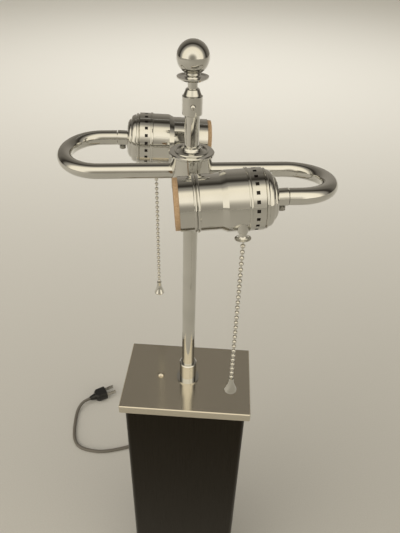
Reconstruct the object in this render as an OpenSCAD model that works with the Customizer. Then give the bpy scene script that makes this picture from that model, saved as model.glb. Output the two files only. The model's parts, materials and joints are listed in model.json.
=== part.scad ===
// Two-light table lamp. A steel column stands between a foot plate and a cap plate, a chrome
// stem rises from it to an S-shaped cluster of two bent arms with pull-chain sockets, and a
// riser above the cluster carries a sliding rod with a shade seat and a ball finial.
// Millimetres, +Z up. The origin is at the middle of the underside, and the wide side runs along X.

/* [Column] */
// Width of the column, along X
column_w = 108; // [90:1:140]
// Depth of the column, along Y
column_d = 72; // [60:1:110]
// Height of the column
column_h = 330; // [240:5:420]
// Sheet thickness of the column
column_wall = 1.5; // [1:0.1:3]
// Outer radius of the column's corners
column_r = 4; // [3.5:0.5:10]
// How far the two plates stand out past the column
plate_overhang = 4.2; // [2:0.2:10]
// Corner radius of the two plates
plate_r = 1.5; // [1:0.5:4]
// Thickness of the cap plate
cap_t = 8; // [5:0.5:14]
// Thickness of the foot plate
foot_t = 8; // [7:0.5:14]
// Thickness of the felt under the foot plate
felt_t = 1.5; // [1:0.5:3]
// Height of the cast weight inside the column
weight_h = 36; // [24:1:80]
// Distance of the small stud from the stem
stud_x = 25.3; // [18:0.1:40]

/* [Stem] */
// Bore of the threaded pipe
pipe_bore = 6.8; // [5.5:0.1:9]
// Wall of the threaded pipe
pipe_wall = 1.4; // [1:0.1:2.5]
// Wall of the chrome stem around the pipe
stem_wall = 0.6; // [0.4:0.1:2]
// Wall of the sleeve at the foot of the stem
collar_wall = 2.1; // [0.8:0.05:4]
// Height of that sleeve
collar_h = 19; // [10:0.2:40]
// How far the thin ring under the sleeve stands out past it
ring_out = 2.7; // [1:0.05:6]
// Thickness of the thin ring
ring_t = 1.2; // [0.8:0.1:3]

/* [Cluster] */
// Height of the arms above the cap plate
arm_rise = 208.8; // [150:0.2:300]
// Turn of the cluster about the stem, in degrees
cluster_turn = 8.3; // [-20:0.1:20]
// Diameter of the cluster body
body_d = 28.6; // [24:0.1:36]
// Height of the cluster body
body_h = 24; // [22:0.5:36]
// How far the top disc stands out past the body
disc_out = 1.4; // [1:0.1:8]
// Thickness of the top disc at its rim
disc_t = 2.4; // [1.6:0.2:5]
// Height of the flare from the disc up to the riser
flare_h = 4; // [2:0.5:8]
// Outside diameter of the arm tube
arm_d = 10.8; // [9:0.1:12]
// Wall of the arm tube
arm_wall = 1.1; // [0.8:0.1:1.4]
// Radius of the arm's bend, at the middle of the tube
bend_r = 25.8; // [22:0.1:40]
// Distance from the stem to the centre of the bend
bend_x = 64.3; // [60:0.1:90]
// Length of the front arm's straight leg, from the bend to the socket
leg_l = 7.6; // [4:0.1:14]
// How much longer the rear arm's leg is
rear_leg = 3.2; // [0:0.1:6]
// Upward tilt of the arm's plane about its run, in degrees
arm_tilt = 5.3; // [0:0.1:10]
// Droop of the socket's mouth, in degrees
socket_droop = 3.3; // [0:0.1:6]

/* [Socket] */
// Bore radius of the screw shell that takes the lamp
screw_r = 13.3; // [12:0.1:20]
// Length of the screw shell, with its floor
screw_l = 25; // [20:0.5:40]
// Sheet thickness of the screw shell
screw_wall = 0.5; // [0.3:0.1:0.8]
// Wall of the fibre liner
liner_wall = 1.2; // [0.6:0.1:2]
// How far the fibre liner stands out of the mouth
liner_out = 3; // [1:0.2:10]
// Sheet thickness of the shell
shell_wall = 0.5; // [0.3:0.1:0.8]
// How far the middle of the shell stands out past its mouth
mouth_step = 0.5; // [0.2:0.1:2]
// How far the wide part of the shell stands out past its middle
wide_step = 1.7; // [0.6:0.1:5]
// How far the cap stands out past the shell
cap_step = 0.2; // [0.1:0.1:1]
// Length of the cap, from its back to the seam
cap_l = 17.6; // [17:0.1:24]
// Sheet thickness of the cap
cap_wall = 0.8; // [0.5:0.1:1]
// Length of the moulded base under the screw shell
base_l = 8.6; // [6:0.1:16]
// Length of the hub that meets the arm
hub_l = 7; // [5:0.1:10]
// Outside radius of the hub
hub_r = 5.6; // [4.6:0.1:7]

/* [Pull chain] */
// Radius at which the chain pulls the lever
pull_r = 14; // [12:0.1:15]
// Place of the chain past the seam of the cap
chain_in = 5.5; // [5.5:0.1:10]
// Angle of the lever above level when it is at rest
lever_rest = 21.5; // [15:0.5:24]
// Diameter of a chain bead
bead_d = 3.2; // [2.4:0.1:4.8]
// Gap from bead to bead
bead_gap = 1.28; // [1:0.02:2]
// Number of beads that hang below the front guide
bead_count = 26; // [10:1:29]
// How many more beads hang below the rear guide
rear_beads = 2; // [0:1:4]
// Length of the chain guide past the shell
guide_out = 6.6; // [6:0.2:16]
// Diameter of the bell on the chain's end
bell_d = 9.5; // [7:0.5:14]
// Height of the bell
bell_h = 9; // [8:0.5:16]

/* [Riser and finial] */
// Diameter of the sliding rod
rod_d = 6.5; // [5:0.1:9]
// Travel of the rod
rod_travel = 25; // [10:1:30]
// Wall of the riser tube
riser_wall = 1.4; // [0.8:0.1:2.5]
// Height of the riser tube above the cluster body
riser_h = 36; // [32:0.5:60]
// Wall of the riser's locking sleeve
sleeve_wall = 1.6; // [1.2:0.1:4]
// Height of the sleeve's round part
sleeve_h = 12; // [10:0.5:20]
// Height of the sleeve's sloping top
sleeve_top = 4.6; // [3:0.2:8]
// Height of the shade seat above the sleeve
seat_gap = 5.4; // [2:0.2:8]
// Diameter of the shade seat
shade_seat_d = 20.5; // [18:0.5:30]
// Thickness of the shade seat
shade_seat_t = 2.2; // [1.6:0.2:4]
// Diameter of the ball
ball_d = 20.8; // [16:0.2:30]
// Height of the finial's neck
neck_h = 1.4; // [1.4:0.2:8]

/* [Cord] */
// Diameter of the mains cord
cord_d = 5; // [4:0.1:6]
// Height of the cord's exit above the foot plate
cord_rise = 8; // [7:0.5:14]
// Length of the strain relief outside the column
relief_l = 28; // [20:1:40]
// Mean diameter of the coil of spare cord
coil_d = 61; // [50:1:70]
// Turns in the coil
coil_turns = 7.25; // [5.25:1:8.25]

/* [Hidden] */
$fn = 48;
// Radial play between a piece and the piece that it slips over
slip = 0.1;
// Radial play of a piece that turns or slides
run = 0.06;
// Gap between faces that pass each other
pass = 0.35;
// Overlap of a cutter past the face that it cuts
over = 1;
chrome = "#c9ccce";
steel = "#8d8a80";
dark_steel = "#3a352d";
fibre = "#b98f66";
brass = "#c2a04c";
black = "#1d1c1b";
grey = "#6d6a63";

foot_z = felt_t;
column_z = foot_z + foot_t;
cap_z = column_z + column_h;
top_z = cap_z + cap_t;
plate_w = column_w + 2 * plate_overhang;
plate_d = column_d + 2 * plate_overhang;
plate_edge = 0.7;
felt_inset = 1;
stud_d = 6.6;
stud_shank_d = 3;
stud_head = 3.2;

pipe_r = pipe_bore / 2 + pipe_wall;
stem_r = pipe_r + slip + stem_wall;
collar_r = stem_r + slip + collar_wall;
ring_r = collar_r + ring_out;
collar_edge = 0.6;
nut_wall = 2.7;
nut_af = 2 * (pipe_r + nut_wall);
nut_t = 4;
washer_out = 5.2;
washer_r = pipe_r + washer_out;
washer_t = 1.2;
recess_side = 2;
recess_r = washer_r + recess_side;
recess_play = 0.3;
recess_h = nut_t + washer_t + recess_play;
weight_gap = 1;
weight_side = 1.7;
weight_slot = 2 * (pipe_r + weight_side);

arm_z = top_z + arm_rise;
body_z = arm_z - body_h / 2;
body_top = arm_z + body_h / 2;
body_floor = 4;
body_wall = 3.2;
cavity_r = body_d / 2 - body_wall;
disc_r = body_d / 2 + disc_out;
disc_edge = 0.6;
disc_ring_r = 0.7 * disc_r;
disc_ring = 0.8;
arm_r = arm_d / 2;
arm_bore_r = arm_r - arm_wall;
arm_nut_wall = 1.2;
arm_nut_r = arm_r + arm_nut_wall;
arm_nut_t = 2;
arm_nut_play = 0.2;
arm_start = sqrt(cavity_r * cavity_r - arm_nut_r * arm_nut_r) - arm_nut_t - arm_nut_play;
// Place along the run where an arm's leg ends
function leg_x(turn) = bend_x - leg_l - (turn == 0 ? 0 : rear_leg);

hub_gap = 0.45;
spigot_l = 4;
spigot_play = 0.5;
spigot_r = arm_bore_r - spigot_play;
spigot_wall = 0.75;
wire_way_r = spigot_r - spigot_wall;
wire_play = 0.95;
wire_r = wire_way_r - wire_play;
base_side = 0.5;
base_r = screw_r + screw_wall + base_side;
liner_gap = 0.8;
liner_r = base_r + liner_gap + liner_wall;
liner_play = 0.2;
mouth_r = liner_r + liner_play + shell_wall;
mid_r = mouth_r + mouth_step;
wide_r = mid_r + wide_step;
cap_r = wide_r + cap_step;
dome_r = 8;
dome_h = 7;
tier_share = 0.66;
tier_h = 3.2;
tier_edge = 0.4;
rib_r = 1.1;
rib_in = 0.5;
window_n = 22;
window = 2.2;
window_in = 3.2;
window_s = cap_l - window_in;
seam_l = 2;
seam_out = 0.5;
wide_l = 14.1;
step_s = cap_l + wide_l;
step_l = 3.6;
chain_s = cap_l + chain_in;
block_s = 10;
lever_room = 4.8;
block_end = chain_s - lever_room;
block_gap = 0.6;
base_room = 4;
base_s = chain_s + base_room;
base_end = base_s + base_l;
mouth_s = base_end + screw_l;
mouth_l = 12.4;
bead_s = mouth_s - mouth_l;
bead_l = 2;
bead_out = 0.9;
press_l = 9;
press_w = 1.4;
press_out = 0.5;
liner_s = base_s + 1;
lever_t = 3.4;
lever_hub_r = 4;
pin_r = 2;
pin_seat = 3;
fork_t = 1.6;
fork_gap = 1.6;
fork_out = 2.2;
post_y = 5.4;
contact_r = 4;
contact_h = 2.4;
contact_gap = 2;
screw_head_r = 2.4;
screw_head_t = 1.6;
set_head_t = 2.4;
screw_lift = 0.4;
terminal_r = 9.5;
terminal_l = 3;

bead_r = bead_d / 2;
bead_pitch = bead_d + bead_gap;
link_r = 0.45;
fork_clear = fork_t / 2 / cos(lever_rest) + bead_r + 0.5;
fork_rest = pull_r * tan(lever_rest);
fork_slack = 2 * pull_r * (tan(lever_rest) - lever_rest * PI / 180);
guide_seat = sqrt(wide_r * wide_r - pull_r * pull_r);
guide_root = guide_seat - 6.5;
guide_l = guide_seat + guide_out;
guide_bore_r = bead_r + pass;
guide_wall = 0.6;
guide_r = guide_bore_r + guide_wall;
lip_out = 2.6;
lip_h = 2.6;
guide_lip_r = guide_r + lip_out;
guide_nut_out = 0.7;
guide_nut_r = guide_r + guide_nut_out;
guide_nut_h = 2.4;
guide_nut_end = guide_seat + guide_nut_h;
upper_first = fork_clear + fork_slack - fork_rest;
upper_beads = 1 + ceil((guide_l + bead_r + pass - upper_first) / bead_pitch);
pivot_z = upper_first + bead_pitch * (upper_beads - 1);
coupling_r = 2.1;
coupling_l = 3.6;
bell_wall = 0.8;
bell_rim = 0.8;
bell_roof = 1.5;

riser_bore_r = rod_d / 2 + 0.35;
riser_r = riser_bore_r + riser_wall;
sleeve_r = riser_r + slip + sleeve_wall;
riser_top = body_top + riser_h;
sleeve_lap = 8.5;
sleeve_z = riser_top - sleeve_lap;
sleeve_end = sleeve_z + sleeve_h + sleeve_top;
lock_z = sleeve_z + 6.5;
lock_r = 1.4;
lock_head_r = 1.9;
lock_head_t = 1.4;
lock_slot = 0.5;
rod_low = lock_z - rod_travel - 5;
seat_z = sleeve_end + seat_gap;
finial_z = seat_z + shade_seat_t + pass;
ball_z = finial_z + neck_h + ball_d / 2 - 0.8;
rod_top = finial_z + neck_h + 3.7;
finial_bore_h = neck_h + 4.5;

cord_r = cord_d / 2;
cord_z = column_z + cord_rise;
cord_back = column_d / 2 + relief_l;
relief_flange_r = 6.5;
relief_flange_t = 2;
relief_neck_r = 5;
relief_tip_r = cord_r + 0.7;
lead_r = cord_r - 0.2;
lead_bend = 12;
cord_sides = 10;
coil_x = 0;
coil_out = 76;
coil_y = cord_back + coil_out;
coil_step = cord_d + 1.3;
coil_layer = cord_d + 0.7;
coil_rings = 24;
coil_sides = 6;
tie_t = 0.7;
tie_w = 7;
tie_gap = 0.3;
tie_side_gap = 0.9;
tie_turn = 0.625;
coil_lift = tie_t + tie_gap;
plug_heading = 34;
plug_boot_l = 10;
plug_body_l = 19;
plug_r = 11;
plug_half = 7.5;
blade_l = 16;
blade_w = 6.3;
blade_t = 1.5;
blade_y = 6.35;

// A round tube standing on its end
module tube(outer_r, inner_r, h) {
    rotate_extrude() translate([inner_r, 0]) square([outer_r - inner_r, h]);
}

// A rectangle with round corners, about the origin
module round_rect(w, d, r) {
    square([w - 2 * r, d], center = true);
    square([w, d - 2 * r], center = true);
    for (x = [-1, 1], y = [-1, 1]) translate([x * (w / 2 - r), y * (d / 2 - r)]) circle(r = r);
}

module plate(w, d, t, r) {
    linear_extrude(t) round_rect(w, d, r);
}

// A plate with its upper edges cut at 45 degrees
module edged_plate(w, d, t, r) {
    cut = plate_edge * sqrt(2);
    difference() {
        plate(w, d, t, r);
        for (side = [-1, 1]) {
            translate([side * w / 2, 0, t]) rotate([0, 45, 0]) cube([cut, d + over, cut], center = true);
            translate([0, side * d / 2, t]) rotate([45, 0, 0]) cube([w + over, cut, cut], center = true);
        }
    }
}

// A round screw head, part of a ball
module round_head(r, h) {
    ball_r = (r * r + h * h) / (2 * h);
    intersection() {
        translate([0, 0, h - ball_r]) sphere(r = ball_r);
        cylinder(r = r + over, h = h + over);
    }
}

// A hexagon nut with a plain bore
module hex_nut(af, bore_r, t) {
    difference() {
        cylinder(d = af / cos(30), h = t, $fn = 6);
        translate([0, 0, -over]) cylinder(r = bore_r, h = t + 2 * over);
    }
}

// Frame of one arm: X runs out from the stem, and the socket's leg lies on the -Y side
module on_arm(turn) {
    translate([0, 0, arm_z]) rotate([0, 0, cluster_turn + turn]) rotate([-arm_tilt, 0, 0]) children();
}

// Frame of one socket: Z runs from the back of the cap to the mouth, X is up, -Y is outward
module on_socket(turn) {
    on_arm(turn) translate([leg_x(turn) - hub_gap, -2 * bend_r, 0]) rotate([0, -90 - socket_droop, 0])
        translate([0, 0, hub_l]) children();
}

// Frame of one chain inside its socket: Z runs down from the level of the socket's axis
module on_chain(turn) {
    on_socket(turn) translate([0, -pull_r, chain_s]) rotate([0, -90, 0]) children();
}

// A round bar along an arm, from a place on the run to the end of the leg
module arm_bar(r, from_x, to_x) {
    translate([from_x, 0, 0]) rotate([0, 90, 0]) cylinder(r = r, h = bend_x - from_x);
    translate([bend_x, -bend_r, 0]) rotate([0, 0, -90]) rotate_extrude(angle = 180)
        translate([bend_r, 0]) circle(r = r);
    translate([to_x, -2 * bend_r, 0]) rotate([0, 90, 0]) cylinder(r = r, h = bend_x - to_x);
}

module felt_pad() {
    color(black) difference() {
        plate(plate_w - 2 * felt_inset, plate_d - 2 * felt_inset, felt_t, plate_r);
        translate([0, 0, -over]) cylinder(r = recess_r, h = felt_t + 2 * over);
    }
}

module foot_plate() {
    color(steel) translate([0, 0, foot_z]) difference() {
        edged_plate(plate_w, plate_d, foot_t, plate_r);
        translate([0, 0, -over]) cylinder(r = recess_r, h = recess_h + over);
        cylinder(r = pipe_r + slip, h = foot_t + over);
    }
}

module base_weight() {
    w = column_w - 2 * column_wall - 2 * weight_gap;
    d = column_d - 2 * column_wall - 2 * weight_gap;
    color(black) translate([0, 0, column_z]) difference() {
        plate(w, d, weight_h, column_r);
        translate([0, 0, -over]) cylinder(d = weight_slot, h = weight_h + 2 * over);
        translate([-weight_slot / 2, 0, -over]) cube([weight_slot, d, weight_h + 2 * over]);
    }
}

module column() {
    color(dark_steel) translate([0, 0, column_z]) difference() {
        plate(column_w, column_d, column_h, column_r);
        translate([0, 0, -over])
            plate(column_w - 2 * column_wall, column_d - 2 * column_wall, column_h + 2 * over,
                column_r - column_wall);
        translate([0, column_d / 2 - column_wall - over, cord_rise]) rotate([-90, 0, 0])
            cylinder(r = relief_neck_r + slip, h = column_wall + 2 * over);
    }
}

module cap_plate() {
    color(steel) translate([0, 0, cap_z]) difference() {
        edged_plate(plate_w, plate_d, cap_t, plate_r);
        translate([0, 0, -over]) cylinder(r = pipe_r + slip, h = cap_t + 2 * over);
        translate([-stud_x, 0, -over]) cylinder(r = stud_shank_d / 2 + slip, h = cap_t + 2 * over);
    }
}

// Small round-headed stud beside the stem
module cap_stud() {
    color(steel) translate([-stud_x, 0, top_z]) {
        round_head(stud_d / 2, stud_head);
        translate([0, 0, -cap_t]) cylinder(d = stud_shank_d, h = cap_t);
    }
}

// Threaded pipe that ties the foot, the column, the stem and the cluster together
module tie_pipe() {
    bottom = foot_z + recess_h - washer_t - nut_t;
    slot_w = 2 * lead_r + 1.2;
    color(brass) difference() {
        translate([0, 0, bottom]) tube(pipe_r, pipe_bore / 2, body_z + body_floor - bottom);
        translate([-slot_w / 2, 0, cord_z - slot_w / 2]) cube([slot_w, 2 * pipe_r, lead_bend + slot_w]);
    }
}

module pipe_nuts() {
    bore_r = pipe_r + slip;
    color(brass) {
        translate([0, 0, foot_z + recess_h - washer_t - nut_t]) hex_nut(nut_af, bore_r, nut_t);
        translate([0, 0, cap_z - washer_t - nut_t]) hex_nut(nut_af, bore_r, nut_t);
    }
}

module pipe_washers() {
    color(steel) {
        for (z = [foot_z + recess_h - washer_t, cap_z - washer_t])
            translate([0, 0, z]) tube(washer_r, pipe_r + slip, washer_t);
    }
}

module seat_ring() {
    color(chrome) translate([0, 0, top_z]) tube(ring_r, stem_r + slip, ring_t);
}

module foot_collar() {
    in_r = stem_r + slip;
    color(chrome) translate([0, 0, top_z + ring_t]) rotate_extrude() polygon([
        [in_r, 0], [collar_r, 0], [collar_r, collar_h - collar_edge], [collar_r - collar_edge, collar_h],
        [in_r, collar_h]
    ]);
}

module stem_tube() {
    color(chrome) translate([0, 0, top_z]) tube(stem_r, pipe_r + slip, body_z - top_z);
}

// Hollow body that the stem, both arms and the riser meet in
module cluster_body() {
    color(chrome) difference() {
        translate([0, 0, body_z]) cylinder(d = body_d, h = body_h);
        translate([0, 0, body_z + body_floor]) cylinder(r = cavity_r, h = body_h);
        translate([0, 0, body_z - over]) cylinder(r = pipe_r + slip, h = body_floor + 2 * over);
        for (turn = [0, 180]) on_arm(turn) rotate([0, 90, 0]) cylinder(r = arm_r + slip, h = body_d);
    }
}

// Top disc with a raised ring, and a flare inside it that rises to the riser tube
module cluster_cap() {
    in_r = riser_r + slip;
    lip = 1;
    flare_r = disc_ring_r - in_r - lip;
    flare = [for (a = [0 : 15 : 90]) [
        in_r + lip + flare_r * (1 - sin(a)), disc_t + flare_h * (1 - cos(a))
    ]];
    rim = [[disc_r - disc_edge, 0], [disc_r, disc_edge], [disc_r, disc_t - disc_edge],
        [disc_r - disc_edge, disc_t]];
    color(chrome) translate([0, 0, body_top]) {
        rotate_extrude() polygon(concat([[in_r, 0]], rim, flare, [[in_r, disc_t + flare_h]]));
        translate([0, 0, disc_t]) rotate_extrude() translate([disc_ring_r, 0]) circle(r = disc_ring);
    }
}

module arm(turn) {
    color(chrome) on_arm(turn) difference() {
        arm_bar(arm_r, arm_start, leg_x(turn));
        arm_bar(arm_bore_r, arm_start - over, leg_x(turn) - over);
    }
}

module front_arm() arm(0);
module rear_arm() arm(180);

// Thin nuts that hold the arms inside the cluster body
module arm_nuts() {
    color(brass) for (turn = [0, 180]) on_arm(turn) translate([arm_start, 0, 0]) rotate([0, 90, 0])
        tube(arm_nut_r, arm_r + slip, arm_nut_t);
}

module riser_tube() {
    color(chrome) difference() {
        translate([0, 0, body_top]) tube(riser_r, riser_bore_r, riser_h);
        translate([0, 0, lock_z]) rotate([0, 0, cluster_turn]) rotate([90, 0, 0])
            cylinder(r = lock_r + run, h = 2 * riser_r);
    }
}

// Sleeve on top of the riser, with a sloping top that guides the rod
module riser_sleeve() {
    over_r = riser_r + slip;
    rod_way_r = rod_d / 2 + run;
    edge = 0.4;
    top = sleeve_h + sleeve_top;
    color(chrome) difference() {
        translate([0, 0, sleeve_z]) rotate_extrude() polygon([
            [over_r, 0], [sleeve_r - edge, 0], [sleeve_r, edge], [sleeve_r, sleeve_h],
            [sleeve_r - 2 * edge, sleeve_h + 2 * edge], [rod_way_r + 3 * edge, top - edge],
            [rod_way_r + 2 * edge, top], [rod_way_r, top], [rod_way_r, sleeve_lap], [over_r, sleeve_lap]
        ]);
        translate([0, 0, lock_z]) rotate([0, 0, cluster_turn]) rotate([90, 0, 0])
            cylinder(r = lock_r + run, h = 2 * sleeve_r);
    }
}

module lock_screw() {
    tip = rod_d / 2 + pass;
    head_at = sleeve_r + pass;
    color(chrome) translate([0, 0, lock_z]) rotate([0, 0, cluster_turn]) rotate([90, 0, 0]) difference() {
        union() {
            translate([0, 0, tip]) cylinder(r = lock_r, h = head_at - tip);
            translate([0, 0, head_at]) round_head(lock_head_r, lock_head_t);
        }
        translate([-lock_head_r, -lock_slot / 2, head_at + lock_head_t - lock_slot])
            cube([2 * lock_head_r, lock_slot, over]);
    }
}

module shade_rod() {
    color(chrome) translate([0, 0, rod_low]) cylinder(d = rod_d, h = rod_top - rod_low);
}

module shade_seat() {
    in_r = rod_d / 2 + slip;
    out_r = shade_seat_d / 2;
    lip = 0.7;
    color(chrome) translate([0, 0, seat_z]) rotate_extrude() polygon([
        [in_r, 0], [out_r - 2.5, 0], [out_r, shade_seat_t - lip], [out_r, shade_seat_t],
        [out_r - 1, shade_seat_t], [out_r - 2.5, shade_seat_t - lip], [in_r + 2, shade_seat_t - lip],
        [in_r + 1.6, shade_seat_t], [in_r, shade_seat_t]
    ]);
}

module finial() {
    neck_r = rod_d / 2 + 0.7;
    color(chrome) difference() {
        union() {
            translate([0, 0, finial_z]) cylinder(r = neck_r, h = neck_h + 1);
            translate([0, 0, finial_z + 1]) rotate_extrude() translate([neck_r, 0])
                circle(r = 0.9);
            translate([0, 0, ball_z]) sphere(d = ball_d);
        }
        translate([0, 0, finial_z - over]) cylinder(r = rod_d / 2 + run, h = finial_bore_h + over);
    }
}

// Points of a quarter dome, from its flat back out to its rim
function dome(r0, r1, s0, h) = [for (a = [0 : 15 : 90]) [r0 + (r1 - r0) * sin(a), s0 + h * (1 - cos(a))]];

function backward(list) = [for (i = [len(list) - 1 : -1 : 0]) list[i]];

// Points of the cap's back: a low tier round the hub, a ledge, and a dome out to the rib
function cap_back(rim_r, inward) = let (tier_r = dome_r + tier_share * (rim_r - dome_r)) concat(
    dome(dome_r, tier_r - inward, inward, tier_h),
    dome(tier_r + tier_edge - inward, rim_r - inward, tier_h + inward, dome_h - tier_h)
);

// Cap of a socket: hub and spigot for the arm, stepped dome, rolled rib and a band with small windows
module socket_cap(turn) {
    rib_s = dome_h + rib_r;
    rib_x = cap_r - rib_in - rib_r;
    band_s = rib_s + rib_r + rib_in;
    in_r = cap_r - cap_wall;
    color(chrome) on_socket(turn) difference() {
        rotate_extrude() polygon(concat(
            [
                [wire_way_r, -hub_l - spigot_l], [spigot_r, -hub_l - spigot_l], [spigot_r, -hub_l],
                [hub_r, -hub_l], [hub_r, 0]
            ],
            cap_back(rib_x, 0),
            [for (a = [-75 : 30 : 75]) [rib_x + rib_r * cos(a), rib_s + rib_r * sin(a)]],
            [
                [rib_x, rib_s + rib_r], [cap_r, band_s], [cap_r, cap_l], [in_r, cap_l], [in_r, band_s]
            ],
            backward(cap_back(rib_x, cap_wall)),
            [[wire_way_r, cap_wall]]
        ));
        for (i = [0 : window_n - 1]) rotate([0, 0, 360 * (i + 0.5) / window_n])
            translate([in_r - over, -window / 2, window_s - window / 2])
                cube([cap_wall + 2 * over, window, window]);
        translate([0, 0, -hub_l / 2]) rotate([0, -90, 0]) cylinder(r = lock_r + slip, h = hub_r + over);
    }
}

module front_socket_cap() socket_cap(0);
module rear_socket_cap() socket_cap(180);

// Points of a round bead that stands out of a radius, between its two feet
function bead(r, s, l, out) = [for (a = [30 : 30 : 150]) [r + out * sin(a), s + l / 2 * (1 - cos(a))]];

// Outline of the shell's outside, from the seam to the mouth, drawn in by a distance
function shell_side(inward) = let (w = wide_r - inward, m = mid_r - inward, e = mouth_r - inward) concat(
    [[w, cap_l + seam_l], [w, step_s], [m, step_s + step_l], [m, bead_s]],
    bead(m, bead_s, bead_l, bead_out),
    [[m, bead_s + bead_l]],
    bead(m, bead_s + bead_l, bead_l, bead_out),
    [[e, bead_s + 2 * bead_l]]
);

// Shell of a socket: seam bead, wide part, step, double bead and mouth, with the chain's hole
module shell(turn) {
    press_in = 0.2;
    color(chrome) difference() {
        on_socket(turn) {
            rotate_extrude() polygon(concat(
                [[wide_r - shell_wall, cap_l], [cap_r, cap_l]],
                bead(cap_r, cap_l, seam_l, seam_out),
                shell_side(0),
                [[mouth_r, mouth_s], [mouth_r - shell_wall, mouth_s]],
                backward(shell_side(shell_wall))
            ));
            rotate([0, 0, 60]) translate([wide_r - press_in, -press_w / 2, cap_l + 2 * seam_l])
                cube([press_out + press_in, press_w, press_l]);
        }
        on_chain(turn) cylinder(r = guide_bore_r + slip, h = wide_r);
    }
}

module front_shell() shell(0);
module rear_shell() shell(180);

module liner(turn) {
    color(fibre) on_socket(turn) translate([0, 0, liner_s])
        tube(liner_r, liner_r - liner_wall, mouth_s + liner_out - liner_s);
}

module front_liner() liner(0);
module rear_liner() liner(180);

// Screw shell: plain bore with a floor that sits on the switch body
module screw_shell(turn) {
    color(brass) on_socket(turn) translate([0, 0, base_end]) rotate_extrude() polygon([
        [contact_r + contact_gap, 0], [screw_r + screw_wall, 0], [screw_r + screw_wall, screw_l],
        [screw_r, screw_l], [screw_r, screw_wall], [contact_r + contact_gap, screw_wall]
    ]);
}

module front_screw_shell() screw_shell(0);
module rear_screw_shell() screw_shell(180);

// Moulded switch body: a terminal block in the cap, a base under the screw shell and a post between
module interior(turn) {
    block_r = cap_r - cap_wall - block_gap;
    pin_hole_r = pin_r + slip;
    color(black) on_socket(turn) difference() {
        union() {
            translate([0, 0, block_s]) cylinder(r = block_r, h = block_end - block_s);
            translate([0, 0, base_s]) cylinder(r = base_r, h = base_l);
            intersection() {
                translate([0, 0, block_end - over]) cylinder(r = base_r, h = base_s - block_end + 2 * over);
                translate([-base_r, post_y, block_end - over]) cube([2 * base_r, base_r, base_s]);
            }
        }
        translate([0, 0, block_end - pin_seat])
            cylinder(r = pin_hole_r, h = base_s - block_end + 2 * pin_seat);
        for (x = [-1, 1]) translate([x * terminal_r, 0, block_s - over])
            cylinder(r = lock_r + slip, h = terminal_l + 2 * over);
        translate([0, 0, base_end + screw_wall - contact_h]) cylinder(r = contact_r + slip, h = contact_h);
    }
}

module front_interior() interior(0);
module rear_interior() interior(180);

// Centre contact, set in the switch body level with the floor of the screw shell
module contact(turn) {
    color(brass) on_socket(turn) translate([0, 0, base_end + screw_wall - contact_h])
        cylinder(r = contact_r, h = contact_h);
}

module front_contact() contact(0);
module rear_contact() contact(180);

module lever_pin(turn) {
    color(steel) on_socket(turn) translate([0, 0, block_end - pin_seat])
        cylinder(r = pin_r, h = base_s - block_end + 2 * pin_seat);
}

module front_lever_pin() lever_pin(0);
module rear_lever_pin() lever_pin(180);

// Forked lever on the pin: the chain hangs in the fork and turns it
module lever(turn) {
    reach = pull_r + fork_out;
    color(brass) on_socket(turn) rotate([0, 0, lever_rest]) translate([0, 0, chain_s - lever_t / 2])
        difference() {
            union() {
                cylinder(r = lever_hub_r, h = lever_t);
                translate([-fork_t / 2, -reach, 0]) cube([fork_t, reach, lever_t]);
            }
            translate([0, 0, -over]) cylinder(r = pin_r + run, h = lever_t + 2 * over);
            translate([-fork_t, -reach - over, lever_t / 2 - fork_gap / 2])
                cube([2 * fork_t, 2 * fork_out + over, fork_gap]);
        }
}

module front_lever() lever(0);
module rear_lever() lever(180);

// Flared guide that the chain comes out of, seated on the shell
module chain_guide(turn) {
    edge = 0.4;
    shell_clear = 0.05;
    lip_s = guide_l - lip_h;
    lip_in = lip_out - edge;
    color(chrome) difference() {
        on_chain(turn) rotate_extrude() polygon(concat(
            [
                [guide_bore_r, guide_root], [guide_nut_r, guide_root], [guide_nut_r, guide_nut_end - edge],
                [guide_nut_r - edge, guide_nut_end], [guide_r, guide_nut_end]
            ],
            [for (a = [0 : 15 : 90]) [guide_r + lip_out * (1 - cos(a)), lip_s + (lip_h - edge) * sin(a)]],
            [[guide_lip_r, guide_l]],
            [for (a = [90 : -15 : 0]) [guide_bore_r + lip_in * (1 - cos(a)), lip_s + lip_h * sin(a)]]
        ));
        on_socket(turn) cylinder(r = wide_r + shell_clear, h = mouth_s);
    }
}

module front_chain_guide() chain_guide(0);
module rear_chain_guide() chain_guide(180);

// A run of beads on links, from the first bead down
module beads(count) {
    for (i = [0 : count - 1]) translate([0, 0, i * bead_pitch]) sphere(r = bead_r);
    cylinder(r = link_r, h = (count - 1) * bead_pitch);
}

// The chain inside the socket: one bead over the fork, and the rest down to the pivot bead
module upper_chain(turn) {
    top = -fork_rest - fork_clear;
    color(chrome) on_chain(turn) {
        translate([0, 0, upper_first]) beads(upper_beads);
        translate([0, 0, top]) {
            sphere(r = bead_r);
            cylinder(r = link_r, h = upper_first - top);
        }
    }
}

module front_upper_chain() upper_chain(0);
module rear_upper_chain() upper_chain(180);

// Turns a vector about X, Y and Z in that order, as rotate() does
function turn_x(v, a) = [v[0], v[1] * cos(a) - v[2] * sin(a), v[1] * sin(a) + v[2] * cos(a)];
function turn_y(v, a) = [v[0] * cos(a) + v[2] * sin(a), v[1], v[2] * cos(a) - v[0] * sin(a)];
function turn_z(v, a) = [v[0] * cos(a) - v[1] * sin(a), v[0] * sin(a) + v[1] * cos(a), v[2]];

// Place of a chain's pivot bead
function pivot(turn) =
    let (local = turn_y([-pivot_z, -pull_r, chain_s + hub_l], -90 - socket_droop))
    let (arm = local + [leg_x(turn) - hub_gap, -2 * bend_r, 0])
    turn_z(turn_x(arm, -arm_tilt), cluster_turn + turn) + [0, 0, arm_z];

// Number of beads in a hanging chain
function hanging(turn) = bead_count + (turn == 0 ? 0 : rear_beads);

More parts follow.
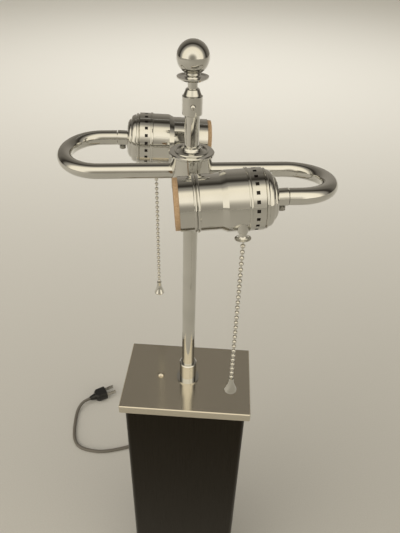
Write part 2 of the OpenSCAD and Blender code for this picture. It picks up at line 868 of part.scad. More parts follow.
// The free chain hangs plumb from the pivot bead
module chain(turn) {
    gap = bead_r + pass;
    color(chrome) translate(pivot(turn)) rotate([180, 0, 0]) {
        translate([0, 0, bead_pitch]) beads(hanging(turn));
        translate([0, 0, gap]) cylinder(r = link_r, h = bead_pitch - gap);
    }
}

module front_chain() chain(0);
module rear_chain() chain(180);

// Coupling and flared bell on the end of the chain
module pull_bell(turn) {
    top = hanging(turn) * bead_pitch + bead_r;
    bell_r = bell_d / 2;
    rim = coupling_l + bell_h - bell_rim;
    end = coupling_l + bell_h;
    color(chrome) translate(pivot(turn)) rotate([180, 0, 0]) translate([0, 0, top])
        rotate_extrude() polygon(concat(
            [[0, 0], [coupling_r, 0]],
            [for (t = [0 : 0.25 : 1]) [
                coupling_r + (bell_r - coupling_r) * pow(t, 1.3), coupling_l + (rim - coupling_l) * t
            ]],
            [
                [bell_r, end], [bell_r - bell_wall, end],
                [coupling_r - bell_wall / 2, coupling_l + bell_roof], [0, coupling_l + bell_roof]
            ]
        ));
}

module front_pull_bell() pull_bell(0);
module rear_pull_bell() pull_bell(180);

// Slotted screws under the two hubs
module socket_set_screws() {
    slot = 0.6;
    tip = wire_way_r + 0.2;
    head_at = hub_r + screw_lift;
    color(steel) for (turn = [0, 180]) on_socket(turn) translate([0, 0, -hub_l / 2]) rotate([0, -90, 0])
        difference() {
            union() {
                translate([0, 0, tip]) cylinder(r = lock_r, h = head_at - tip);
                translate([0, 0, head_at]) cylinder(r = screw_head_r, h = set_head_t);
            }
            translate([-screw_head_r, -slot / 2, head_at + set_head_t - slot])
                cube([2 * screw_head_r, slot, over]);
        }
}

// Two terminal screws on the back of each switch body
module terminal_screws() {
    color(brass) for (turn = [0, 180], x = [-1, 1]) on_socket(turn) translate([x * terminal_r, 0, block_s]) {
        translate([0, 0, -screw_head_t]) cylinder(r = screw_head_r, h = screw_head_t);
        cylinder(r = lock_r, h = terminal_l);
    }
}

// Cord inside the lamp: in through the strain relief, then up the pipe to the cluster
module supply_lead() {
    riser_z = cord_z + lead_bend;
    lead_top = body_z + body_floor + 3;
    color(grey) {
        translate([0, lead_bend, cord_z]) rotate([-90, 0, 0]) cylinder(r = lead_r, h = cord_back - lead_bend);
        translate([0, lead_bend, riser_z]) rotate([-90, 0, 0]) rotate([0, 90, 0])
            rotate_extrude(angle = 90) translate([lead_bend, 0]) circle(r = lead_r);
        translate([0, 0, riser_z]) cylinder(r = lead_r, h = lead_top - riser_z);
    }
}

module wire(turn) {
    color(black) on_arm(turn) arm_bar(wire_r, arm_start - over, leg_x(turn) - hub_l - over);
}

module front_wire() wire(0);
module rear_wire() wire(180);

// Tapered strain relief in the back of the column
module cord_relief() {
    color(black) translate([0, column_d / 2, cord_z]) rotate([-90, 0, 0]) rotate_extrude() polygon([
        [cord_r, -column_wall - over], [relief_neck_r, -column_wall - over], [relief_neck_r, 0],
        [relief_flange_r, 0], [relief_flange_r, relief_flange_t], [relief_neck_r, relief_flange_t + 0.6],
        [relief_tip_r, relief_l], [cord_r, relief_l]
    ]);
}

// Unit vector along v
function unit(v) = v / norm(v);

// Point at share t of the curve from b to c that also looks at a and d
function curve_point(a, b, c, d, t) =
    b + 0.5 * t * (c - a + t * (2 * a - 5 * b + 4 * c - d + t * (3 * (b - c) + d - a)));

// A route with extra points between its own, on one smooth curve
function smooth(p, parts) = concat(
    [for (i = [0 : len(p) - 2], k = [0 : parts - 1]) curve_point(
        i == 0 ? 2 * p[0] - p[1] : p[i - 1], p[i], p[i + 1],
        i == len(p) - 2 ? 2 * p[i + 1] - p[i] : p[i + 2], k / parts
    )],
    [p[len(p) - 1]]
);

// Rings of points round a route that is nowhere plumb
function rings(p, r, sides) = [for (i = [0 : len(p) - 1])
    let (t = unit(p[min(i + 1, len(p) - 1)] - p[max(i - 1, 0)]))
    let (side = unit(cross(t, [0, 0, 1])))
    let (up = cross(side, t))
    for (k = [0 : sides - 1]) p[i] + r * (cos(360 * k / sides) * side + sin(360 * k / sides) * up)
];

// A closed round tube along a route, with ends square to it
module swept(p, r, sides) {
    last = (len(p) - 1) * sides;
    walls = [for (i = [0 : len(p) - 2], k = [0 : sides - 1])
        let (a = i * sides + k, b = i * sides + (k + 1) % sides)
        for (f = [[a, b, b + sides], [a, b + sides, a + sides]]) f
    ];
    ends = [for (k = [1 : sides - 2], f = [[0, k + 1, k], [last, last + k, last + k + 1]]) f];
    polyhedron(points = rings(p, r, sides), faces = concat(walls, ends));
}

// The coil winds in along the floor layer, climbs, and winds out along the upper layer
coil_inner = coil_d / 2 - coil_step * (coil_turns - 1) / 4;
function coil_at(n) = let (
    half = coil_turns / 2,
    in_or_out = abs(n - half),
    climb = min(1, max(0, (n - half) * 2 + 0.5)),
    r = coil_inner + coil_step * max(0, in_or_out - 0.25),
    z = coil_lift + cord_r + coil_layer * climb * climb * (3 - 2 * climb)
) [coil_x + r * cos(360 * n), coil_y + r * sin(360 * n), z];
coil_count = round(coil_turns * coil_rings);
coil_turn_points = [for (i = [0 : coil_count]) coil_at(i * coil_turns / coil_count)];
coil_first = coil_turn_points[0];
coil_last = coil_turn_points[coil_count];
coil_route = concat([coil_first - [0, cord_d, 0]], coil_turn_points, [coil_last - [cord_d, 0, 0]]);
coil_start = coil_route[0];
coil_end = coil_route[coil_count + 2];

// Least gap of the coil's turns to each other, measured on its own points
coil_apart = coil_rings - 4;
coil_gap = min([for (i = [0 : coil_count - coil_apart], k = [i + coil_apart : coil_count])
    norm(coil_turn_points[i] - coil_turn_points[k])]) - cord_d;
echo(least_coil_gap_mm = coil_gap);

// Routes of the free cord: X from the middle, Y from the tip of the strain relief, and Z from the
// middle of a cord that lies on the floor
cord_origin = [0, cord_back, cord_r];
lead_start = [0, cord_back, cord_z];
lead_points = concat(
    [lead_start, lead_start + [0, 6, 0]],
    [for (p = [
        [1.5, 15, 14.5], [6, 23.5, 12.5], [15.5, 32.5, 7.5], [28.2, 40.8, 4.1], [36, 48.1, 2.1],
        [40.3, 56.5, 1.2]
    ]) p + cord_origin],
    [coil_start - [0, 7, 0], coil_start]
);
plug_start = [-187.5, cord_back + 182, plug_half];
tail_points = concat(
    [coil_end, coil_end - [10, 0, 0]],
    [for (p = [
        [-36, 116, 5], [-58, 112, 2.5], [-80, 105, 0.5], [-102, 96, 0], [-124, 88, 0], [-146, 83, 0],
        [-167, 84, 0], [-184, 90, 0], [-194, 103, 0], [-199, 120, 0], [-201.2, 131.9, 0],
        [-203.3, 148.7, 0.2], [-203, 158.8, 1.7], [-199.7, 168.7, 4.5], [-194.5, 176.3, 5]
    ]) p + cord_origin],
    [plug_start]
);

module cord_lead() {
    color(grey) swept(smooth(lead_points, 2), cord_r, cord_sides);
}

module cord_coil() {
    color(grey) swept(coil_route, cord_r, coil_sides);
}

module cord_tail() {
    color(grey) swept(smooth(tail_points, 2), cord_r, cord_sides);
}

// Strap round the bundle, on the side of the coil away from its ends
module coil_tie() {
    layers = coil_layer + cord_d;
    low_r = coil_inner - cord_r - tie_side_gap;
    high_r = coil_inner + coil_step * (coil_turns / 2 - tie_turn - 0.25) + cord_r + tie_side_gap;
    wide = high_r - low_r;
    tall = layers + 2 * tie_gap;
    color(black) translate([coil_x, coil_y, coil_lift + layers / 2]) rotate([0, 0, 360 * tie_turn])
        translate([(low_r + high_r) / 2, tie_w / 2, 0]) rotate([90, 0, 0]) linear_extrude(tie_w)
            difference() {
                square([wide + 2 * tie_t, tall + 2 * tie_t], center = true);
                square([wide, tall], center = true);
            }
}

module on_plug() {
    translate(plug_start) rotate([0, 0, plug_heading]) children();
}

// Two-pin plug with a tapered boot, lying on its flat side
module plug_body() {
    color(black) on_plug() {
        rotate([0, 90, 0]) rotate_extrude() polygon([
            [0, 0], [cord_r + 0.8, 0], [plug_half - 1.5, plug_boot_l], [0, plug_boot_l]
        ]);
        intersection() {
            translate([plug_boot_l, 0, 0]) rotate([0, 90, 0]) rotate_extrude() polygon([
                [0, 0], [plug_r - 3, 0], [plug_r, 4], [plug_r, plug_body_l - 1], [plug_r - 1, plug_body_l],
                [0, plug_body_l]
            ]);
            translate([0, -plug_r, -plug_half]) cube([plug_boot_l + plug_body_l, 2 * plug_r, 2 * plug_half]);
        }
    }
}

module plug_blades() {
    color(brass) on_plug() for (y = [-1, 1])
        translate([plug_boot_l + plug_body_l, y * blade_y - blade_t / 2, -blade_w / 2])
            cube([blade_l, blade_t, blade_w]);
}

felt_pad();
foot_plate();
base_weight();
column();
cap_plate();
cap_stud();
tie_pipe();
pipe_nuts();
pipe_washers();
seat_ring();
foot_collar();
stem_tube();
cluster_body();
cluster_cap();
front_arm();
rear_arm();
arm_nuts();
riser_tube();
riser_sleeve();
lock_screw();
shade_rod();
shade_seat();
finial();
front_socket_cap();
rear_socket_cap();
front_shell();
rear_shell();
front_liner();
rear_liner();
front_screw_shell();
rear_screw_shell();
front_interior();
rear_interior();
front_contact();
rear_contact();
front_lever_pin();
rear_lever_pin();
front_lever();
rear_lever();
front_chain_guide();
rear_chain_guide();
front_upper_chain();
rear_upper_chain();
front_chain();
rear_chain();
front_pull_bell();
rear_pull_bell();
socket_set_screws();
terminal_screws();
supply_lead();
front_wire();
rear_wire();
cord_relief();
cord_lead();
cord_coil();
coil_tie();
cord_tail();
plug_body();
plug_blades();
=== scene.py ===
# %% [markdown]
# # A two-light table lamp
# The lamp is a steel column, its dark colour painted shade, between two plates, with a chrome stem, an S of
# bent arms that carry two pull-chain sockets, and a ball finial above. Its rigid pieces arrive from the
# construction model as a frame in metres. This lesson adds the camera, the loose mains cord, the rolled screw
# threads, the finishes, the floor and the light.

# %% Load the frame
import json
import math

import bpy
import numpy as np
from mathutils import Matrix, Vector


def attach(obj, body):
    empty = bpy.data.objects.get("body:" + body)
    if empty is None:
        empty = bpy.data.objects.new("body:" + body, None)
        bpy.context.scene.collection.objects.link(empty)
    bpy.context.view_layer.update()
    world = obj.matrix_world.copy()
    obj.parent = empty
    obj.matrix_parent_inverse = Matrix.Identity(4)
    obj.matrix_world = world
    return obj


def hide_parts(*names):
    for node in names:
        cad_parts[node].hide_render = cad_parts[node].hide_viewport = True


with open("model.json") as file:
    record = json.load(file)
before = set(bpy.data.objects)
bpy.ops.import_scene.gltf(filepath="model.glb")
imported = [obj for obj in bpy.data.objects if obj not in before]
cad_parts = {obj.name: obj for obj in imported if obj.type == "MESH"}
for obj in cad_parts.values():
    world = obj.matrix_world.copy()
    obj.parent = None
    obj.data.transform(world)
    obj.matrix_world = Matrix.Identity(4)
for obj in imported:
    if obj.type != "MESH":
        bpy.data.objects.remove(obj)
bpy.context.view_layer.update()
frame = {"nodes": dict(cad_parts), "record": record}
nodes = frame["nodes"]
scene = bpy.context.scene

# %% [markdown]
# ## The camera
# The photograph looks down on the lamp from just in front of it. Four corners of the cap plate, the ball,
# the arms' bends and the stem's foot fix the place and the turn of a camera whose focal length is 500
# pixels. Blender wants the focal length in millimetres on a 36 mm sensor, and measures that sensor along
# the longer side of the picture.

# %% Camera
IMAGE_LONG_SIDE = 533
FOCAL_PIXELS = 500
SENSOR_MM = 36
eye = Vector((0.02259, -0.32487, 0.7023))
look = Vector((-0.0362, 0.81815, -0.57386)).normalized()
up_hint = Vector((-0.05645, 0.57164, 0.81856))
right = look.cross(up_hint).normalized()
up = right.cross(look)
camera_data = bpy.data.cameras.new("photo_camera")
camera_data.sensor_width = SENSOR_MM
camera_data.lens = FOCAL_PIXELS * SENSOR_MM / IMAGE_LONG_SIDE
camera = bpy.data.objects.new("photo_camera", camera_data)
scene.collection.objects.link(camera)
turned = Matrix((right, up, -look)).transposed()
camera.matrix_world = Matrix.Translation(eye) @ turned.to_4x4()
scene.camera = camera
print("lens", round(camera_data.lens, 2), "mm")

# %% [markdown]
# ## Surfaces from grids of points
# Each new piece is a grid: one direction runs along the piece and the other runs round it. The points
# are worked out for the whole grid at once, and the faces only say which neighbours share a square.

# %% A mesh from a grid


def grid_piece(name, points, closed_rows=False, capped=False):
    """Makes an object from points[row, column, xyz]; columns always close into a ring.

    Square (i, k) joins points (i, k), (i, k+1), (i+1, k+1) and (i+1, k), with k+1 taken round the ring.
    With closed_rows the last row joins the first, and with capped each end ring becomes one face.
    """
    rows, columns = points.shape[:2]
    row = np.arange(rows if closed_rows else rows - 1)[:, None]
    column = np.arange(columns)[None, :]
    next_row = (row + 1) % rows
    next_column = (column + 1) % columns
    corners = [
        row * columns + column,
        row * columns + next_column,
        next_row * columns + next_column,
        next_row * columns + column,
    ]
    faces = np.stack(corners, axis=-1).reshape(-1, 4).tolist()
    if capped:
        first = np.arange(columns)
        faces.append(first[::-1].tolist())
        faces.append((first + (rows - 1) * columns).tolist())
    mesh = bpy.data.meshes.new(name)
    mesh.from_pydata(points.reshape(-1, 3).tolist(), [], faces)
    mesh.polygons.foreach_set("use_smooth", np.ones(len(mesh.polygons), dtype=bool))
    mesh.update()
    piece = bpy.data.objects.new(name, mesh)
    scene.collection.objects.link(piece)
    return piece


def ring_uv(piece, along, columns):
    """Gives a tube a UV map: U is the share of the way round, V the distance along it in metres."""
    mesh = piece.data
    index = np.empty(len(mesh.loops), dtype=np.int32)
    mesh.loops.foreach_get("vertex_index", index)
    uv = np.stack([(index % columns) / columns, along[index // columns]], axis=-1)
    layer = mesh.uv_layers.new(name="along")
    layer.data.foreach_set("uv", uv.astype(np.float32).ravel())


# %% [markdown]
# ## The mains cord
# A table lamp has about 1.8 m of round grey flex. It comes straight out of its strain relief at the back
# of the column, drops to the floor, and its spare length lies behind the column in a flat coil of two
# layers with a strap round it. The free end runs out to the left and ends in a black two-pin plug. The
# route uses the same chosen points and the same spiral as the construction model, so the cord lies where
# its solids are. One curve could be bevelled instead, but a swept grid lets the finish follow the cord.
# Sizes are in millimetres until the route is done.

# %% The coil of spare cord
CORD_D = 5.0
CORD_BACK = 64.0
COIL_BEHIND = 76
COIL_Y = CORD_BACK + COIL_BEHIND
COIL_D = 61.0
COIL_TURNS = 7.25
REVERSE_TURNS = 0.5
TURN_GAP = 1.3
LAYER_GAP = 0.7
COIL_STEP = CORD_D + TURN_GAP
COIL_LAYER = CORD_D + LAYER_GAP
COIL_LIFT = 1.0
# COIL_D is about the coil's mean diameter. The inner turn lies further in by half of the spiral's growth.
COIL_INNER = COIL_D / 2 - COIL_STEP * (COIL_TURNS - 1) / 4
POINTS_PER_TURN = 40


def coil_points():
    """Spirals in along the floor and out again on top of it.

    The radius grows by one step a turn on both sides of the half turn in the middle, where the spiral
    reverses. In that half turn the height climbs one layer on a smooth step.
    """
    turn = np.linspace(0, COIL_TURNS, round(COIL_TURNS * POINTS_PER_TURN) + 1)
    away = turn - COIL_TURNS / 2
    radius = COIL_INNER + COIL_STEP * np.maximum(0, np.abs(away) - REVERSE_TURNS / 2)
    climb = np.clip(away / REVERSE_TURNS + 0.5, 0, 1)
    height = COIL_LIFT + CORD_D / 2 + COIL_LAYER * climb**2 * (3 - 2 * climb)
    angle = 2 * np.pi * turn
    coil = np.stack([radius * np.cos(angle), COIL_Y + radius * np.sin(angle), height], axis=-1)
    start = coil[0] - [0, CORD_D, 0]
    end = coil[-1] - [CORD_D, 0, 0]
    return np.vstack([start, coil, end])


coil = coil_points()
print("coil", COIL_TURNS, "turns in", len(coil), "points")

# %% The cord's route
MM = 0.001
CORD_EXIT_Z = 17.5
STRAIGHT_OUT = 6
COIL_RUN_IN = 7
COIL_RUN_OUT = 10
SPAN_PARTS = 4


def smooth_route(chosen, parts):
    """Runs a cubic curve through chosen points: each span leaves along the line between its neighbours."""
    p = np.vstack([2 * chosen[0] - chosen[1], chosen, 2 * chosen[-1] - chosen[-2]])
    a, b, c, d = p[:-3, None], p[1:-2, None], p[2:-1, None], p[3:, None]
    t = (np.arange(parts) / parts)[None, :, None]
    curve = b + 0.5 * t * (c - a + t * (2 * a - 5 * b + 4 * c - d + t * (3 * (b - c) + d - a)))
    return np.vstack([curve.reshape(-1, 3), chosen[-1]])


floor_line = np.array([0, CORD_BACK, CORD_D / 2])
exit_point = np.array([0, CORD_BACK, CORD_EXIT_Z])
lead_chosen = np.array(
    [
        [1.5, 15, 14.5],
        [6, 23.5, 12.5],
        [15.5, 32.5, 7.5],
        [28.2, 40.8, 4.1],
        [36, 48.1, 2.1],
        [40.3, 56.5, 1.2],
    ]
)
lead_out = exit_point + [0, STRAIGHT_OUT, 0]
lead_in = coil[0] - [0, COIL_RUN_IN, 0]
lead = np.vstack([exit_point, lead_out, lead_chosen + floor_line, lead_in, coil[0]])
tail_chosen = np.array(
    [
        [-36, 116, 5],
        [-58, 112, 2.5],
        [-80, 105, 0.5],
        [-102, 96, 0],
        [-124, 88, 0],
        [-146, 83, 0],
        [-167, 84, 0],
        [-184, 90, 0],
        [-194, 103, 0],
        [-199, 120, 0],
        [-201.2, 131.9, 0],
        [-203.3, 148.7, 0.2],
        [-203, 158.8, 1.7],
        [-199.7, 168.7, 4.5],
        [-194.5, 176.3, 5],
        [-187.5, 182, 5],
    ]
)
tail_out = coil[-1] - [COIL_RUN_OUT, 0, 0]
tail = np.vstack([coil[-1], tail_out, tail_chosen + floor_line])
route = np.vstack([smooth_route(lead, SPAN_PARTS)[:-1], coil, smooth_route(tail, SPAN_PARTS)[1:]]) * MM
run_lengths = np.linalg.norm(np.diff(route, axis=0), axis=1)
along_route = np.concatenate([[0], np.cumsum(run_lengths)])
print("cord length", round(along_route[-1], 3), "m in", len(route), "points")

# %% The cord itself
CORD_SIDES = 16


def tube_points(path, radius, sides):
    """Carries a circle along a path that is nowhere plumb: one axis lies level, the other square to both."""
    along = np.gradient(path, axis=0)
    along /= np.linalg.norm(along, axis=1, keepdims=True)
    level = np.cross(along, [0, 0, 1])
    level /= np.linalg.norm(level, axis=1, keepdims=True)
    over = np.cross(level, along)
    angle = np.linspace(0, 2 * np.pi, sides, endpoint=False)[None, :, None]
    return path[:, None] + radius * (np.cos(angle) * level[:, None] + np.sin(angle) * over[:, None])


cord = grid_piece("mains_cord", tube_points(route, CORD_D / 2 * MM, CORD_SIDES), capped=True)
ring_uv(cord, along_route, CORD_SIDES)
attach(cord, "base")
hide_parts("cord_lead", "cord_coil", "cord_tail")
print("cord", len(cord.data.polygons), "faces")

# %% [markdown]
# ## The rolled screw shells
# A lamp socket holds its lamp in a thin brass sleeve with a rolled thread of seven turns to the inch. The
# construction model keeps a plain bore there for the lamp's fit. Here the sleeve gets its thread: inner
# and outer face share one wave that climbs one pitch for each turn, and it fades out at both ends. Sizes
# are in millimetres, and the mounts of the record give the places in metres.

# %% Screw shells
THREAD_PITCH = 25.4 / 7
THREAD_DEPTH = 0.42
SHELL_BORE_R = 13.3
SHELL_SHEET = 0.35
SHELL_LENGTH = 24.5
SHELL_COLUMNS = 72
SHELL_ROWS = 97
SHELL_FLOOR_R = (6.0, 8.0, 11.0, 13.0)
SIDES = ("front", "rear")
mounts = {mount["name"]: mount for mount in frame["record"]["mounts"]}


def socket_axes(mount):
    """Gives the middle of the bore and three axes: across, up and out along the bore."""
    out = np.array(mount["axis"]) / np.linalg.norm(mount["axis"])
    across = np.cross([0, 0, 1], out)
    across /= np.linalg.norm(across)
    return np.array(mount["pos_m"]), across, np.cross(out, across), out


def screw_shell(name, mount):
    """A sleeve whose radius is the bore's plus a wave: half a cosine of (turn - distance / pitch).

    The wave's height falls to nothing over one pitch at each end, and the floor turns inwards.
    """
    centre, across, upward, out = socket_axes(mount)
    angle = np.linspace(0, 2 * np.pi, SHELL_COLUMNS, endpoint=False)[None, :]
    distance = np.linspace(0, SHELL_LENGTH, SHELL_ROWS)[:, None]
    fade = np.clip(np.minimum(distance, SHELL_LENGTH - distance) / THREAD_PITCH, 0, 1)
    wave = 0.5 - 0.5 * np.cos(2 * np.pi * distance / THREAD_PITCH - angle)
    inner = SHELL_BORE_R + THREAD_DEPTH * fade * wave
    floor_r = np.repeat(np.array(SHELL_FLOOR_R)[:, None], SHELL_COLUMNS, axis=1)
    floor_s = np.zeros_like(floor_r)
    radius = np.vstack([floor_r, inner, inner[::-1] + SHELL_SHEET, floor_r[::-1]])
    place = np.repeat(distance, SHELL_COLUMNS, axis=1)
    reach = np.vstack([floor_s, place, place[::-1], floor_s - SHELL_SHEET])
    reach = (reach - SHELL_LENGTH / 2) * MM
    ring = np.cos(angle)[..., None] * across + np.sin(angle)[..., None] * upward
    points = centre + radius[..., None] * MM * ring + reach[..., None] * out
    return grid_piece(name, points, closed_rows=True)


for side in SIDES:
    shell = screw_shell(f"{side}_threaded_shell", mounts[f"{side}_lamp_socket"])
    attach(shell, "base")
    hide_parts(f"{side}_screw_shell")
    print(shell.name, len(shell.data.polygons), "faces")

# %% [markdown]
# ## Finishes
# Each finish starts from the real material and how its surface was made. Colours are written as they look
# on a screen and turned to linear light by one function. Patterns are noise on the piece's own coordinates.
# Noise repeats about once per unit, so a grain of `g` mm needs a scale of 1000 / g per metre. Colour, gloss
# and relief may each have their own grain, because a smudge is wider than a pit.

# %% Helpers for the finishes
NOISE_MIDDLE = (0.3, 0.7)


def linear(code):
    """Turns an sRGB hex colour into linear RGBA by the standard curve."""
    srgb = np.array([int(code[i : i + 2], 16) for i in (1, 3, 5)]) / 255
    light = np.where(srgb <= 0.04045, srgb / 12.92, ((srgb + 0.055) / 1.055) ** 2.4)
    return (*light.tolist(), 1.0)


def add_node(tree, kind, links=None, **settings):
    """Adds one node, sets its properties or sockets by name, and links other nodes' outputs into it."""
    node = tree.nodes.new(kind)
    for name, value in settings.items():
        if hasattr(node, name):
            setattr(node, name, value)
        else:
            node.inputs[name.replace("_", " ")].default_value = value
    for socket, output in (links or {}).items():
        tree.links.new(output, node.inputs[socket])
    return node


def finish(
    name, colour, gloss, relief, detail=3, stretch=(1, 1, 1), source="Object", across=None, **sockets
):
    """Makes a material whose colour, gloss and relief follow noise of a real size.

    colour is (grain in mm, dark, light), gloss is (grain in mm, lowest roughness, highest roughness) and
    relief is (grain in mm, height in mm). The middle of the noise runs from the first value to the second.
    stretch scales the pattern along each axis. across is the direction in which a brushed surface spreads
    its reflection, square to its scratches. The other names set sockets of the shader.
    """
    material = bpy.data.materials.new(name)
    material.use_nodes = True
    tree = material.node_tree
    shader = tree.nodes["Principled BSDF"]
    for socket, value in sockets.items():
        shader.inputs[socket.replace("_", " ")].default_value = value
    place = add_node(tree, "ShaderNodeTexCoord")
    mapping = add_node(tree, "ShaderNodeMapping", {"Vector": place.outputs[source]}, Scale=stretch)
    noise = {}
    for grain_mm in dict.fromkeys((colour[0], gloss[0], relief[0])):
        vector = {"Vector": mapping.outputs["Vector"]}
        scale = 1000 / grain_mm
        pattern = add_node(tree, "ShaderNodeTexNoise", vector, Scale=scale, Detail=detail)
        noise[grain_mm] = pattern.outputs["Fac"]
    tints = add_node(tree, "ShaderNodeValToRGB", {"Fac": noise[colour[0]]})
    for stop, position, code in zip(tints.color_ramp.elements, NOISE_MIDDLE, colour[1:]):
        stop.position = position
        stop.color = linear(code)
    low, high = NOISE_MIDDLE
    shine = add_node(
        tree,
        "ShaderNodeMapRange",
        {"Value": noise[gloss[0]]},
        From_Min=low,
        From_Max=high,
        To_Min=gloss[1],
        To_Max=gloss[2],
    )
    bumps = add_node(tree, "ShaderNodeBump", {"Height": noise[relief[0]]}, Distance=relief[1] * MM)
    tree.links.new(tints.outputs["Color"], shader.inputs["Base Color"])
    tree.links.new(shine.outputs["Result"], shader.inputs["Roughness"])
    tree.links.new(bumps.outputs["Normal"], shader.inputs["Normal"])
    if across:
        spread = add_node(tree, "ShaderNodeCombineXYZ", X=across[0], Y=across[1], Z=across[2])
        tree.links.new(spread.outputs["Vector"], shader.inputs["Tangent"])
    print("finish", name)
    return material


finishes = {}

# %% [markdown]
# ### Chrome plate
# Bright chrome over polished steel or brass: a mirror with a faintly cool colour. Handling leaves smudges
# a finger wide, which only change its gloss, and old plate has pin-prick pits that break the mirror.

# %% Chrome
finishes["chrome"] = finish(
    "polished_chrome_plate",
    colour=(30, "#d3d2cd", "#e0dfda"),
    gloss=(14, 0.03, 0.1),
    relief=(1.2, 0.003),
    detail=2,
    Metallic=1.0,
)

# %% [markdown]
# ### Bead chain
# The chain's beads are pressed from strip and nickelled in a tumbling drum, so they are softer than the
# chrome. Each bead is rubbed a little differently by its neighbours, over patches of about 2 mm, and the
# drum leaves fine dents.

# %% Bead chain
bead_chain = finish(
    "nickelled_bead_chain",
    colour=(2, "#d5d2c9", "#e6e4dd"),
    gloss=(2, 0.14, 0.24),
    relief=(0.5, 0.001),
    Metallic=1.0,
)

# %% [markdown]
# ### Brushed steel
# The cap plate and the foot plate are brushed from left to right, and the dark column from top to bottom.
# A belt leaves scratches about 0.05 mm wide and several centimetres long. That is too fine to show, so they
# are drawn four times as wide. Stretching the noise along the scratch gives their length. They hardly change
# the colour. They spread the reflection to both sides of themselves, so the cap plate draws the stem's image
# out into a streak towards the eye. The shader does that by itself, once it knows the direction. For the
# plates that direction leans up from Y towards Z, so that it lies across the scratches on the edges as well.
# The column is the plates' steel with its colour painted near black, as painted shade and a painted
# reflection of a dark room.
# That is too dark for such streaks to show, so its scratches are relief alone.

# %% Plates and column
SCRATCH_MM = 0.2
SCRATCH_LENGTH_MM = 60
along_scratch = SCRATCH_MM / SCRATCH_LENGTH_MM
finishes["plate_steel"] = finish(
    "brushed_nickel_plate",
    colour=(SCRATCH_MM, "#d8d1c2", "#ddd6c7"),
    gloss=(SCRATCH_MM, 0.19, 0.23),
    relief=(SCRATCH_MM, 0.00001),
    detail=2,
    stretch=(along_scratch, 1, 1),
    across=(0, 0.3, 1),
    Metallic=1.0,
    Anisotropic=0.8,
)
# The column's near-black colour is painted shade and a painted reflection of a dark room on the plates'
# steel, not a darker metal.
finishes["column_steel"] = finish(
    "brushed_steel_painted_shade",
    colour=(SCRATCH_MM, "#262119", "#2e2920"),
    gloss=(SCRATCH_MM, 0.26, 0.36),
    relief=(SCRATCH_MM, 0.0008),
    detail=2,
    stretch=(1, 1, along_scratch),
    Metallic=1.0,
)

# %% [markdown]
# ### Small metal
# Screws are turned steel with fine tool marks, the socket's inside is plain brass that has dulled in patches,
# and the plug's blades are nickelled and rubbed along their length.

# %% Steel, brass and nickel
finishes["screw_steel"] = finish(
    "turned_steel",
    colour=(0.6, "#a3a19b", "#bab8b2"),
    gloss=(0.6, 0.22, 0.38),
    relief=(0.6, 0.002),
    detail=2,
    Metallic=1.0,
)
finishes["brass"] = finish(
    "plain_brass",
    colour=(6, "#a98740", "#d0ad5a"),
    gloss=(6, 0.2, 0.42),
    relief=(0.8, 0.002),
    detail=5,
    Metallic=1.0,
)
finishes["plug_blade"] = finish(
    "nickelled_blade",
    colour=(1.5, "#b3afa6", "#cdcac3"),
    gloss=(1.5, 0.16, 0.34),
    relief=(1.5, 0.002),
    stretch=(1, 1, 0.2),
    Metallic=1.0,
)

# %% [markdown]
# ### Fibre, mouldings and felt
# The tan liner is vulcanised fibre: dull, slightly mottled, with short strands. The switch body is dark
# moulded phenolic with flow marks, the weight raw cast iron with the grit of its sand mould, and the pad
# under the foot pressed felt, whose loose hairs give it a sheen.

# %% Fibre, phenolic, iron and felt
finishes["fibre"] = finish(
    "tan_vulcanised_fibre",
    colour=(0.8, "#b0906e", "#cbb090"),
    gloss=(0.8, 0.66, 0.78),
    relief=(0.8, 0.04),
    detail=5,
    stretch=(1, 0.35, 1),
)
finishes["phenolic"] = finish(
    "dark_phenolic",
    colour=(4, "#1c1512", "#2b211b"),
    gloss=(4, 0.44, 0.56),
    relief=(0.5, 0.004),
    detail=4,
)
finishes["cast_iron"] = finish(
    "raw_cast_iron",
    colour=(1.2, "#2e2d2b", "#4a4845"),
    gloss=(1.2, 0.62, 0.78),
    relief=(1.2, 0.2),
    detail=5,
    Metallic=1.0,
)
finishes["felt"] = finish(
    "black_felt",
    colour=(0.7, "#121212", "#2a2a29"),
    gloss=(0.7, 0.92, 0.98),
    relief=(0.7, 0.25),
    detail=6,
    Sheen_Weight=0.3,
)

# %% [markdown]
# ### Cord and plug
# The flex has an extruded grey jacket with a faint lengthwise grain, so its noise follows the cord's own
# UV map, where U is the share of the way round and V the distance in metres. The plug, strap and strain
# relief are black moulded vinyl with a soft gloss and a fine texture from the mould.

# %% Cord and plug
JACKET_GRAIN_MM = 60
JACKET_GRAINS_ROUND = 24
finishes["cord_vinyl"] = finish(
    "grey_vinyl_jacket",
    colour=(JACKET_GRAIN_MM, "#6a6660", "#7d7972"),
    gloss=(JACKET_GRAIN_MM, 0.45, 0.55),
    relief=(JACKET_GRAIN_MM, 0.025),
    stretch=(JACKET_GRAINS_ROUND * JACKET_GRAIN_MM * MM, 1, 1),
    source="UV",
)
finishes["wire_vinyl"] = finish(
    "black_wire_insulation",
    colour=(3, "#161616", "#242424"),
    gloss=(3, 0.5, 0.6),
    relief=(0.5, 0.005),
)
finishes["plug_vinyl"] = finish(
    "black_moulded_vinyl",
    colour=(0.5, "#171717", "#222221"),
    gloss=(0.5, 0.3, 0.38),
    relief=(0.5, 0.02),
    detail=2,
)

# %% [markdown]
# ### Each piece gets its finish
# The record names a finish for every piece of the frame. The chains have the record's chrome as well, but
# beads look softer than polished plate, so they take their own.

# %% Give every piece its finish
for entry in frame["record"]["subparts"]:
    mesh = nodes[entry["node"]].data
    mesh.materials.clear()
    mesh.materials.append(finishes[entry["material_slot"]])
cord.data.materials.append(finishes["cord_vinyl"])
for side in SIDES:
    for piece in ("upper_chain", "chain"):
        nodes[f"{side}_{piece}"].data.materials[0] = bead_chain
    bpy.data.objects[f"{side}_threaded_shell"].data.materials.append(finishes["brass"])
print("finishes", len(finishes) + 1)

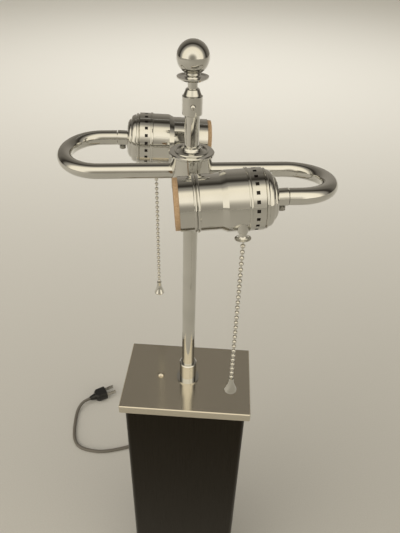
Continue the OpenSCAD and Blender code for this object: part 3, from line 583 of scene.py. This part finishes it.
# %% [markdown]
# ## Floor and light
# The lamp stands on a plain pale floor. Chrome shows nothing but its surroundings, so the room matters more
# than the lamps: it is bright and warm in front, as if from a wide window behind the camera, and dim
# behind. A socket seen from above then has a dark top, a broad cream band and the pale floor below.

# %% Floor
FLOOR_HALF = 6
floor_corners = [(x * FLOOR_HALF, y * FLOOR_HALF, 0) for x, y in ((-1, -1), (1, -1), (1, 1), (-1, 1))]
floor_mesh = bpy.data.meshes.new("floor")
floor_mesh.from_pydata(floor_corners, [], [(0, 1, 2, 3)])
floor = bpy.data.objects.new("floor", floor_mesh)
scene.collection.objects.link(floor)
pale_paper = finish(
    "pale_paper",
    colour=(2, "#d4d4d2", "#d8d8d6"),
    gloss=(2, 0.88, 0.92),
    relief=(2, 0.002),
    detail=2,
)
floor_mesh.materials.append(pale_paper)
print("floor", 2 * FLOOR_HALF, "m wide")

# %% [markdown]
# The room is a ramp of brightness from front to back: the direction's Y runs from -1 straight ahead of the
# lamp to 1 straight behind it. The ramp's colours are the wall in front, the window, the ceiling, the dark
# corner above the back wall, and the back wall.

# %% Room
ROOM_STRENGTH = 1.2
world = bpy.data.worlds.new("room")
scene.world = world
world.use_nodes = True
tree = world.node_tree
direction = add_node(tree, "ShaderNodeTexCoord")
parts = add_node(tree, "ShaderNodeSeparateXYZ", {"Vector": direction.outputs["Generated"]})
share = add_node(tree, "ShaderNodeMapRange", {"Value": parts.outputs["Y"]}, From_Min=-1.0, From_Max=1.0)
room = add_node(tree, "ShaderNodeValToRGB", {"Fac": share.outputs["Result"]})
room.color_ramp.interpolation = "EASE"
stops = room.color_ramp.elements
stops[0].color = linear("#8f897c")
stops[1].color = linear("#8f897f")
inner_stops = {0.1: "#fff6e2", 0.31: "#fbf1da", 0.48: "#8f8a80", 0.6: "#36322c", 0.8: "#6d685f"}
for place, colour in inner_stops.items():
    stops.new(place).color = linear(colour)
background = tree.nodes["Background"]
tree.links.new(room.outputs["Color"], background.inputs["Color"])
background.inputs["Strength"].default_value = ROOM_STRENGTH
print("room stops", len(stops))

# %% [markdown]
# Two panels do the rest. A large weak one at the left lights the fibre, the cord and the floor. A mirror
# would show it as a hard white square, so it is hidden from mirrored rays and the chrome sees only the room.
# The other brightens the floor behind the lamp. Its beam is narrowed and aimed past the lamp, so that it
# isn't mirrored in the tops of the sockets.

# %% Panels


def soft_panel(name, place, aim, width, height, watts, colour, beam=180):
    """Adds a rectangular light at a place, turned to shine at a point in a beam of so many degrees."""
    data = bpy.data.lights.new(name, "AREA")
    data.shape = "RECTANGLE"
    data.size = width
    data.size_y = height
    data.energy = watts
    data.spread = math.radians(beam)
    data.color = linear(colour)[:3]
    panel = bpy.data.objects.new(name, data)
    scene.collection.objects.link(panel)
    panel.location = place
    panel.rotation_euler = (Vector(aim) - Vector(place)).to_track_quat("-Z", "Y").to_euler()
    return panel


LAMP_MIDDLE = (0, 0, 0.45)
BACK_FLOOR = (0, 3.6, 0)
left_panel = soft_panel(
    "left_panel",
    place=(-1.9, -0.6, 1.7),
    aim=LAMP_MIDDLE,
    width=3.0,
    height=3.0,
    watts=20,
    colour="#fff6ea",
)
left_panel.visible_glossy = False
soft_panel(
    "floor_panel",
    place=(0, 2.0, 2.8),
    aim=BACK_FLOOR,
    width=3.2,
    height=2.4,
    watts=44,
    colour="#fffcf6",
    beam=125,
)
scene.view_settings.view_transform = "Standard"

# %% [markdown]
# ## Last step
# The view layer is brought up to date.

# %% Update the view layer
bpy.context.view_layer.update()
